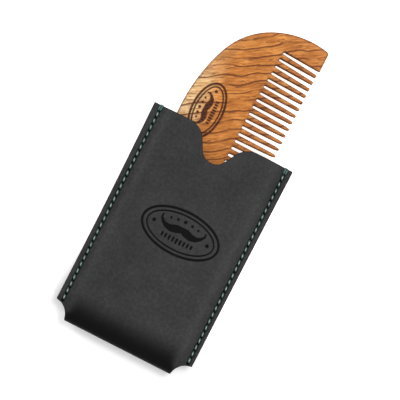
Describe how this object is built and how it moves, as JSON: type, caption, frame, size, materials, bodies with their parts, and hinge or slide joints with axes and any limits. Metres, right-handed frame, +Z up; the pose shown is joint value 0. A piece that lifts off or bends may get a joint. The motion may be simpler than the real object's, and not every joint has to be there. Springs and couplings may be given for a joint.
{
  "type": "beard comb with sheath",
  "caption": "Half-moon wooden beard comb with fine straight teeth, sliding in a folded and stitched leather pocket sheath with a thumb notch.",
  "frame": {"origin": "under the middle of the whole object, on the surface that the sheath lies on", "axes": "+Z up out of the surface, +Y along the sheath out of its mouth, the way the comb is drawn, +X across the sheath, the way the comb's teeth point"},
  "size_m": [0.0674, 0.1568, 0.0083],
  "materials": {
    "wood": "oiled, honey brown, dark wavy grain",
    "leather": "smooth black, satin, burnished edges",
    "thread": "waxed, teal",
    "glue": "dried contact cement"
  },
  "bodies": {
    "sheath_body": {"sheath_leather": "leather", "seam_thread_left": "thread", "seam_thread_right": "thread", "seam_glue_left": "glue", "seam_glue_right": "glue"},
    "comb_body": {"comb": "wood"}
  },
  "joints": [
    {"name": "comb_slide", "type": "slide", "parent": "sheath_body", "child": "comb_body", "axis": [0, 1, 0], "range_m": [-0.048, 0.05]}
  ]
}
